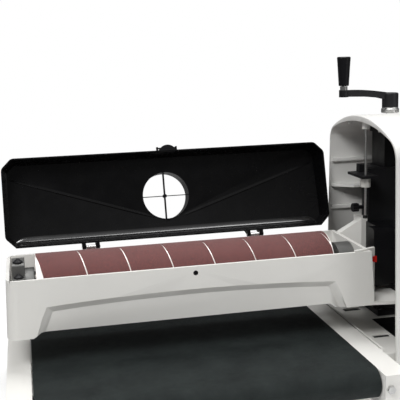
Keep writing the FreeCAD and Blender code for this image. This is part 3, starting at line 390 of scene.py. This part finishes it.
# takes a point of the open cover to its place when the cover is shut
CLOSED = Matrix.Translation(HINGE) @ SWING @ Matrix.Translation(-HINGE)


def round_the_cover(bm):
    """Rounds the cover's corners and creases, apart from its rim, port, legs and ears."""
    rim = at(0, 0, COVER_RIM).z
    port = at(PORT_X, PORT_Y, 0)
    port_reach = 56 * MM
    legs_from = at(0, 80, 0).y
    ears_to = at(0, -75, 0).y

    def is_wanted(edge, convex, least):
        if edge.is_convex != convex or len(edge.link_faces) != 2 or edge.calc_length() < 12 * MM:
            return False
        ends = [CLOSED @ vert.co for vert in edge.verts]
        middle = (ends[0] + ends[1]) / 2
        if edge.calc_face_angle() < math.radians(least) or middle.z < rim + 12 * MM:
            return False
        if min(math.hypot(end.x - port.x, end.y - port.y) for end in ends) < port_reach:
            return False
        if convex and min(end.z for end in ends) < rim + 30 * MM and middle.y > legs_from:
            return False
        return abs(middle.x - port.x) > 30 * MM or middle.y > ears_to or middle.z > rim + 30 * MM

    for convex, least, width in ((False, 14, 9), (True, 7, 5)):
        chosen = [edge for edge in bm.edges if is_wanted(edge, convex, least)]
        bmesh.ops.bevel(
            bm, geom=chosen, offset=width * MM, segments=5, profile=0.5, affect="EDGES", clamp_overlap=True
        )


softened_copy("dust_cover", 0.5, shape=round_the_cover)
# each node with the width of its rounded edges, in millimetres
for node, width in (
    ("carriage_casting", 1.6), ("housing_front", 0.8), ("housing_rear", 0.8), ("base_casting", 1.5),
    ("side_frame_left", 0.7), ("side_frame_right", 0.7), ("control_box", 0.6), ("crank_arm", 1.5),
    ("saddle_block", 0.7), ("rod_bracket", 0.6), ("motor_mount", 1.0), ("coupling_guard", 0.6),
    ("outboard_block", 0.8), ("dust_port", 0.4), ("latch_lever", 2.0),
    ("switch_paddle", 0.5), ("rod_bush", 0.8), ("column_post", 0.5),
    ("flange_bolts", 0.5), ("lock_knob", 0.4), ("hinge_pins", 0.3), ("motor_fan_cover", 0.6),
):
    softened_copy(node, width)


def join_rings(bm, low, high):
    """Faces between two rings of as many points."""
    count = len(low)
    for i in range(count):
        j = (i + 1) % count
        bm.faces.new((low[i], low[j], high[j], high[i]))


def abrasive_strip():
    """One long strip of abrasive, 3 in wide, wound round the drum with a narrow gap."""
    low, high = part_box("abrasive_wrap")
    outer = (high.z - low.z) / 2
    inner = (DRUM_HIGH.z - DRUM_LOW.z) / 2
    pitch, width = 78.5 * MM, 76.2 * MM
    # where the strip's edge crosses the top of the drum, and the turns before that
    first = at(78.1, 0, 0).x
    turns_before = 1.45
    turns_after = (high.x - first) / pitch + 1
    steps = 96
    bm = bmesh.new()
    previous = None
    for k in range(int(-turns_before * steps), int(turns_after * steps) + 1):
        left = first + pitch * k / steps
        a, b = max(left, low.x), min(left + width, high.x)
        if b - a < 0.01 * MM:
            previous = None
            continue
        angle = math.tau * k / steps
        spoke = Vector((0, -math.sin(angle), math.cos(angle)))
        third = (b - a) / 3
        outline = ((a, inner), (a, outer), (a + third, outer), (b - third, outer), (b, outer), (b, inner))
        ring = [bm.verts.new(Vector((x, 0, ORIGIN.z)) + spoke * radius) for x, radius in outline]
        if previous:
            join_rings(bm, previous, ring)
        else:
            bm.faces.new(ring)
        previous = ring
        last = ring
    bm.faces.new(last[::-1])
    bmesh.ops.recalc_face_normals(bm, faces=bm.faces)
    obj = new_piece("abrasive_strip", bm, "drum", "abrasive")
    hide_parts("abrasive_wrap")


def coil(bm, low, high, radius, wire, turns, centre):
    """A compression spring between two heights, with closed ends, as a swept round wire."""
    steps = 20
    total = int(turns * steps)
    sides = 8
    previous = None
    for k in range(total + 1):
        share = k / total
        eased = min(max((share * turns - 1) / (turns - 2), 0), 1)
        height = low + wire + (high - low - 2 * wire) * eased
        angle = math.tau * k / steps
        out = Vector((math.cos(angle), math.sin(angle), 0))
        spot = Vector((centre.x, centre.y, height)) + out * radius
        ring = [
            bm.verts.new(spot + (out * math.cos(t) + Vector((0, 0, 1)) * math.sin(t)) * wire)
            for t in (math.tau * i / sides for i in range(sides))
        ]
        if previous:
            join_rings(bm, previous, ring)
        else:
            bm.faces.new(ring[::-1])
        previous = ring
    bm.faces.new(previous)
    bmesh.ops.recalc_face_normals(bm, faces=bm.faces)


def pressure_springs():
    """Coils between the carriage and each pair of carriers, made at one length; the real ones shorten as
    the carriers rise.
    """
    radius, wire, turns = 4.3 * MM, 0.6 * MM, 7
    inset = 5 * MM
    for side in ("front", "rear"):
        node = f"{side}_pressure_springs"
        low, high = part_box(node)
        middle = (low + high) / 2
        bm = bmesh.new()
        for x in (low.x + inset, high.x - inset):
            coil(bm, low.z, high.z, radius, wire, turns, Vector((x, middle.y, 0)))
        mesh = bpy.data.meshes.new(node + "_coils")
        bm.to_mesh(mesh)
        bm.free()
        obj = bpy.data.objects.new(node + "_coils", mesh)
        bpy.context.scene.collection.objects.link(obj)
        dress(obj, M["steel"])
        mesh.shade_smooth()
        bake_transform(obj)
        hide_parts(node)


def lathe(bm, profile, spot, axis, sides=28):
    """Spins (distance along the axis, radius) points, in millimetres, about a line from a spot."""
    turn = Vector((0, 0, 1)).rotation_difference(Vector(axis)).to_matrix()
    rings = []
    for along, radius in profile:
        ring = []
        for i in range(sides):
            angle = math.tau * i / sides
            place = Vector((math.cos(angle) * radius, math.sin(angle) * radius, along)) * MM
            ring.append(bm.verts.new(spot + turn @ place))
        rings.append(ring)
    for low, high in zip(rings, rings[1:]):
        join_rings(bm, low, high)
    bm.faces.new(rings[0][::-1])
    bm.faces.new(rings[-1])


def screws(name, body, slot, radius, spots):
    """Button-head screws with a round socket, each from a spot on a surface and its normal."""
    sunk = 0.3
    # the head's height and radius at each step, as shares of its radius: its dome, then its socket
    steps = ((0.15, 1), (0.42, 0.86), (0.55, 0.6), (0.56, 0.46), (0.2, 0.42))
    profile = [(-sunk, radius)] + [(height * radius, share * radius) for height, share in steps]
    bm = bmesh.new()
    for spot, axis in spots:
        lathe(bm, profile, at(*spot), axis)
    bmesh.ops.recalc_face_normals(bm, faces=bm.faces)
    new_piece(name, bm, body, slot)


def hexahedron(bm, corners):
    """A solid with six sides from eight corners, which count up like three binary digits."""
    verts = [bm.verts.new(corner) for corner in corners]
    for face in ((0, 1, 3, 2), (4, 6, 7, 5), (0, 2, 6, 4), (1, 5, 7, 3), (2, 3, 7, 6), (0, 4, 5, 1)):
        bm.faces.new([verts[k] for k in face])


def slab(bm, low, high):
    """A block between two corners, in millimetres about the drum."""
    ends = at(*low), at(*high)
    verts = [bm.verts.new([ends[(i >> axis) & 1][axis] for axis in range(3)]) for i in range(8)]
    for face in ((0, 2, 3, 1), (4, 5, 7, 6), (0, 1, 5, 4), (2, 6, 7, 3), (0, 4, 6, 2), (1, 3, 7, 5)):
        bm.faces.new([verts[i] for i in face])


def rounded_piece(name, bm, body, slot, width, segments=2):
    """A new piece with its sharp edges rounded."""
    obj = new_piece(name, bm, body, slot)
    bevel = obj.modifiers.new("round", "BEVEL")
    bevel.width = width * MM
    bevel.segments = segments
    bevel.limit_method = "ANGLE"
    bake_modifiers(obj)
    return obj


def tube_along(bm, rings):
    """A closed tube through rings of points, each given in the cover's shut place."""
    opened = CLOSED.inverted()
    made = [[bm.verts.new(opened @ spot) for spot in ring] for ring in rings]
    for low, high in zip(made, made[1:]):
        join_rings(bm, low, high)
    bm.faces.new(made[0][::-1])
    bm.faces.new(made[-1])
    bmesh.ops.recalc_face_normals(bm, faces=bm.faces)


def inside_cover(x, across, height):
    """A point of the shut cover, by how far it is across from the hinge side and up from the rim."""
    return at(x, COVER_BACK - across, COVER_RIM + height)


def cover_creases():
    """Raised creases inside the roof, from beside the port to the two corners on the latch side."""
    ceiling = ROOF_HEIGHT - COVER_WALL
    edge = WALL_LEAN * ceiling + COVER_WALL
    low, high = COVER_ENDS
    apex = inside_cover(279, 34, ceiling)
    corner_across = 140
    # a bead's section, toward the hinge side and up, and its size at shares of the crease's length
    section = ((-6, 0.6), (0.2, -1.7), (1, -1.9), (1.8, -1.5), (2.6, 0.6))
    taper = ((0.1, 0.5), (0.2, 1), (0.9, 1), (0.985, 0.3))
    bm = bmesh.new()
    for x in (low + edge, high - edge):
        line = inside_cover(x, corner_across, ceiling) - apex
        rings = []
        for share, size in taper:
            spot = apex + line * share
            rings.append([spot + Vector((0, y, z)) * size * MM for y, z in section])
        tube_along(bm, rings)
    new_piece("cover_creases", bm, "cover", "black_plastic", OWN["dust_cover"])


def cover_sweep():
    """The swept corner along the cover's hinge side, in a lighter copy of the cover's black plastic:
    painted highlight along the corner.
    """
    sweep, steps = 15, 10
    low, high = COVER_ENDS
    near = WALL_LEAN * REAR_HEIGHT / 2 + COVER_WALL
    start = near + 2
    crown = REAR_HEIGHT - COVER_WALL + 0.3
    # the sweep grows from each end: how far in, and its size there
    taper = ((20, 0.4), (26, 0.75), (34, 0.95), (46, 1))
    stations = [(low + inset, size) for inset, size in taper]
    stations += [(high - inset, size) for inset, size in reversed(taper)]
    rings = []
    for x, size in stations:
        radius = sweep * size
        ring = []
        for step in range(steps + 1):
            angle = math.radians(90 * step / steps)
            across = start + radius * (1 - math.cos(angle))
            ring.append(inside_cover(x, across, crown - radius * (1 - math.sin(angle))))
        ring.append(inside_cover(x, start + radius, crown + 0.5))
        ring.append(inside_cover(x, near + 0.4, crown + 0.5))
        ring.append(inside_cover(x, near + 0.4, crown - radius))
        rings.append(ring)
    bm = bmesh.new()
    tube_along(bm, rings)
    new_piece("cover_sweep", bm, "cover", "black_plastic", OWN["cover_sweep"])


def well_shade_liner():
    """Black liner under the well in the pedestal, and black plugs sunk in its two slots: painted shade in
    both openings.
    """
    left, right, front, back = 673, 773, -94, 27
    floor, wall, thick = -154.5, 2, 2.5
    bed = floor + thick
    bm = bmesh.new()
    slab(bm, (left, front, floor), (right, back, bed))
    slab(bm, (left, front, bed), (left + wall, back, PEDESTAL_TOP))
    slab(bm, (right - wall, front, bed), (right, back, PEDESTAL_TOP))
    slab(bm, (left + wall, front, bed), (right - wall, front + wall, PEDESTAL_TOP))
    slab(bm, (left + wall, back - wall, bed), (right - wall, back, PEDESTAL_TOP))
    # black plugs sunk just under the pedestal's top, painted shade in the two slots
    gap, plug_top, plug_foot = 0.4, PEDESTAL_TOP - 1.5, PEDESTAL_TOP - 6
    for x, y in SLOT_CORNERS:
        far = (x + SLOT_LENGTH - gap, y + SLOT_WIDTH - gap, plug_top)
        slab(bm, (x + gap, y + gap, plug_foot), far)
    rounded_piece("well_shade_liner", bm, "base", "black_paint", 0.4)


def motor_ribs():
    """Cooling ribs along the drum motor, clear of its terminal box."""
    low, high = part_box("drum_motor")
    ends = low.x + 10 * MM, high.x - 8 * MM
    # each rib's foot and crest: how far out, and half its thickness
    section = ((69.5 * MM, 1.2 * MM), (74.5 * MM, 0.8 * MM))
    count = 40
    box_half_width = 0.72
    bm = bmesh.new()
    for i in range(count):
        angle = math.tau * (i + 0.5) / count
        if math.cos(angle) > box_half_width:
            continue
        spoke = Vector((0, math.sin(angle), math.cos(angle)))
        side = Vector((0, math.cos(angle), -math.sin(angle)))
        corners = []
        for x in ends:
            for radius, half in section:
                for sign in (-1, 1):
                    corners.append(Vector((x, 0, ORIGIN.z)) + spoke * radius + side * half * sign)
        hexahedron(bm, corners)
    bmesh.ops.recalc_face_normals(bm, faces=bm.faces)
    rounded_piece("motor_ribs", bm, "carriage", "black_paint", 0.3, 1)


def bearing_bolts():
    """Black domed bolts on the two levels of the free end's bearing block."""
    dome = [(0, 9), (1.6, 9.2), (3, 8.6), (3.6, 7.2), (5.6, 4.6), (7.2, 3), (8, 2)]
    bm = bmesh.new()
    for y, z in ((-15, 55), (-35, 32)):
        lathe(bm, dome, at(-31, y, z), UP, 6)
    bmesh.ops.recalc_face_normals(bm, faces=bm.faces)
    obj = rounded_piece("bearing_bolts", bm, "carriage", "black_paint", 0.35)
    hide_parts("outboard_bolts")


def latch_socket():
    """A blind black socket in the latch hole of the front face."""
    cup = [(0, 4.3), (5.2, 4.4), (5.6, 4), (5.4, 3.4), (1.5, 3.2)]
    bm = bmesh.new()
    lathe(bm, cup, at(280, -88.5, 30), FRONT)
    bmesh.ops.recalc_face_normals(bm, faces=bm.faces)
    new_piece("latch_socket", bm, "carriage", "black_paint")


def dial_line(bm, degrees, depths, reaches, half):
    """A thin bar that points out from the speed knob's middle, clockwise from the top."""
    angle = math.radians(degrees)
    out = Vector((math.sin(angle), 0, math.cos(angle)))
    side = Vector((math.cos(angle), 0, -math.sin(angle)))
    corners = []
    for y in depths:
        for reach in reaches:
            for sign in (-1, 1):
                corners.append(at(*(Vector((KNOB_X, y, KNOB_Z)) + out * reach + side * half * sign)))
    hexahedron(bm, corners)


def dial_ticks():
    """Plain raised ticks round the speed knob, with a longer one at each end and in the middle."""
    count = 11
    middle = count // 2
    bm = bmesh.new()
    for i in range(count):
        degrees = LAST_TICK * (i - middle) / middle
        tip = 23.5 if i % middle else 25
        dial_line(bm, degrees, (BOX_FACE + 0.1, BOX_FACE - 0.5), (19.5, tip), 0.5)
    bmesh.ops.recalc_face_normals(bm, faces=bm.faces)
    rounded_piece("dial_ticks", bm, "base", "shell_white", 0.1, 1)


def knob_mark():
    """White line on the speed knob's face. At rest it points to the dial's last tick."""
    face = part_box("speed_knob")[0].y / MM
    bm = bmesh.new()
    dial_line(bm, LAST_TICK, (face - 0.15, face + 0.6), (5, 12), 0.7)
    bmesh.ops.recalc_face_normals(bm, faces=bm.faces)
    rounded_piece("knob_mark", bm, "knob", "shell_white", 0.1, 1)


RIGHT, LEFT, UP, FRONT = (1, 0, 0), (-1, 0, 0), (0, 0, 1), (0, -1, 0)


abrasive_strip()
pressure_springs()
cover_creases()
cover_sweep()
well_shade_liner()
motor_ribs()
bearing_bolts()
latch_socket()
dial_ticks()
knob_mark()
screws("housing_screws", "base", "dark_steel", 5, [
    ((801, side * y, z), RIGHT) for y, z in ((100, 230), (150, 0), (155, -200)) for side in (-1, 1)
])
screws("frame_screws", "base", "steel", 5, [
    ((x, y, -135), axis) for x, axis in ((-24, LEFT), (563, RIGHT)) for y in (-180, -60, 60, 180)
])
screws("foot_screws", "base", "dark_steel", 6, [
    ((x, y, -123), UP) for x in (699, 761) for y in (46, 104)
])
screws("motor_screws", "carriage", "steel", 6, [
    ((782, y, z), RIGHT) for y in (-62, 62) for z in (-58, 58)
])
screws("box_screws", "base", "dark_steel", 2.6, [
    ((x, BOX_FACE, z), FRONT) for x in (684, 784) for z in (-224, -136)
])
BEARING_CIRCLE = 33
screws("bearing_screws", "carriage", "dark_steel", 3.5, [
    ((-2.5, BEARING_CIRCLE * math.cos(angle), BEARING_CIRCLE * math.sin(angle)), RIGHT)
    for angle in (math.radians(45 + 90 * i) for i in range(4))
])


# ---- studio -----------------------------------------------------------------------------


def pale_floor():
    """Plain pale paper, which fades out round the machine so that no horizon shows."""
    solid_to, gone_by = 0.35, 1.1
    bm = bmesh.new()
    bmesh.ops.create_grid(bm, x_segments=1, y_segments=1, size=30)
    mesh = bpy.data.meshes.new("floor")
    bm.to_mesh(mesh)
    bm.free()
    floor = bpy.data.objects.new("floor", mesh)
    bpy.context.scene.collection.objects.link(floor)
    m = Nodes("floor_paper")
    paper = m.ramp(m.noise(3, 4), (0.3, (0.93, 0.93, 0.93)), (0.7, (0.96, 0.96, 0.96)))
    m.set(Base_Color=paper, Roughness=0.9, Normal=m.bump(m.noise(300, 3), 0.0001))
    reach = m.add("VectorMath", {0: m.place}, operation="LENGTH").outputs["Value"]
    m.set(Alpha=m.span(reach, 1.0, 0.0, solid_to, gone_by))
    dress(floor, m.material)


def white_room():
    """Soft light from above, and plain white paper behind the machine."""
    world = bpy.data.worlds.new("studio")
    bpy.context.scene.world = world
    world.use_nodes = True
    tree = world.node_tree
    sky = tree.nodes["Background"]
    place = tree.nodes.new("ShaderNodeTexCoord")
    split = tree.nodes.new("ShaderNodeSeparateXYZ")
    shade = tree.nodes.new("ShaderNodeMapRange")
    for name, value in (("From Min", 0.42), ("From Max", 0.95), ("To Min", 0.17), ("To Max", 0.8)):
        shade.inputs[name].default_value = value
    tree.links.new(place.outputs["Generated"], split.inputs[0])
    tree.links.new(split.outputs["Z"], shade.inputs["Value"])
    tree.links.new(shade.outputs[0], sky.inputs["Strength"])
    sky.inputs["Color"].default_value = (1, 1, 1, 1)
    paper = tree.nodes.new("ShaderNodeBackground")
    paper.inputs["Color"].default_value = (1, 1, 1, 1)
    pick = tree.nodes.new("ShaderNodeMixShader")
    rays = tree.nodes.new("ShaderNodeLightPath")
    tree.links.new(rays.outputs["Is Camera Ray"], pick.inputs[0])
    tree.links.new(sky.outputs[0], pick.inputs[1])
    tree.links.new(paper.outputs[0], pick.inputs[2])
    tree.links.new(pick.outputs[0], tree.nodes["World Output"].inputs["Surface"])


def softbox(name, spot, target_height, size, power):
    """A rectangular lamp that faces a point above the middle of the base."""
    light = bpy.data.lights.new(name, "AREA")
    light.shape = "RECTANGLE"
    light.size, light.size_y = size
    light.energy = power
    obj = bpy.data.objects.new(name, light)
    obj.location = spot
    toward = Vector((0, 0, target_height)) - Vector(spot)
    obj.rotation_euler = toward.to_track_quat("-Z", "Y").to_euler()
    bpy.context.scene.collection.objects.link(obj)


def studio():
    """Pale floor, white room and three softboxes."""
    pale_floor()
    white_room()
    softbox("key", (-1.6, -1.8, 2.6), 0.25, (1.4, 0.9), 66)
    softbox("fill", (2.2, -2.2, 1.4), 0.3, (1.2, 1.2), 26)
    softbox("top", (0.2, 0.4, 2.6), 0.3, (2.0, 1.2), 42)
    bpy.context.scene.view_settings.view_transform = "Standard"


def camera():
    """A long lens, a little above and left of the drum, turned right, down and slightly over."""
    spot = (-0.3797, -1.4816, 0.6871)
    yaw, pitch, roll = (math.radians(degrees) for degrees in (12.0509, 10.6242, -1.6864))
    ahead = Vector((math.sin(yaw), math.cos(yaw), 0))
    forward = ahead * math.cos(pitch) - Vector((0, 0, math.sin(pitch)))
    level = Vector((math.cos(yaw), -math.sin(yaw), 0))
    upright = level.cross(forward)
    right = math.cos(roll) * level + math.sin(roll) * upright
    up = -math.sin(roll) * level + math.cos(roll) * upright
    data = bpy.data.cameras.new("camera")
    data.lens = 73.49
    data.sensor_width = 36
    data.clip_end = 100
    obj = bpy.data.objects.new("camera", data)
    turn = Matrix((right, up, -forward)).transposed().to_4x4()
    obj.matrix_world = Matrix.Translation(spot) @ turn
    bpy.context.scene.collection.objects.link(obj)
    bpy.context.scene.camera = obj


studio()
camera()
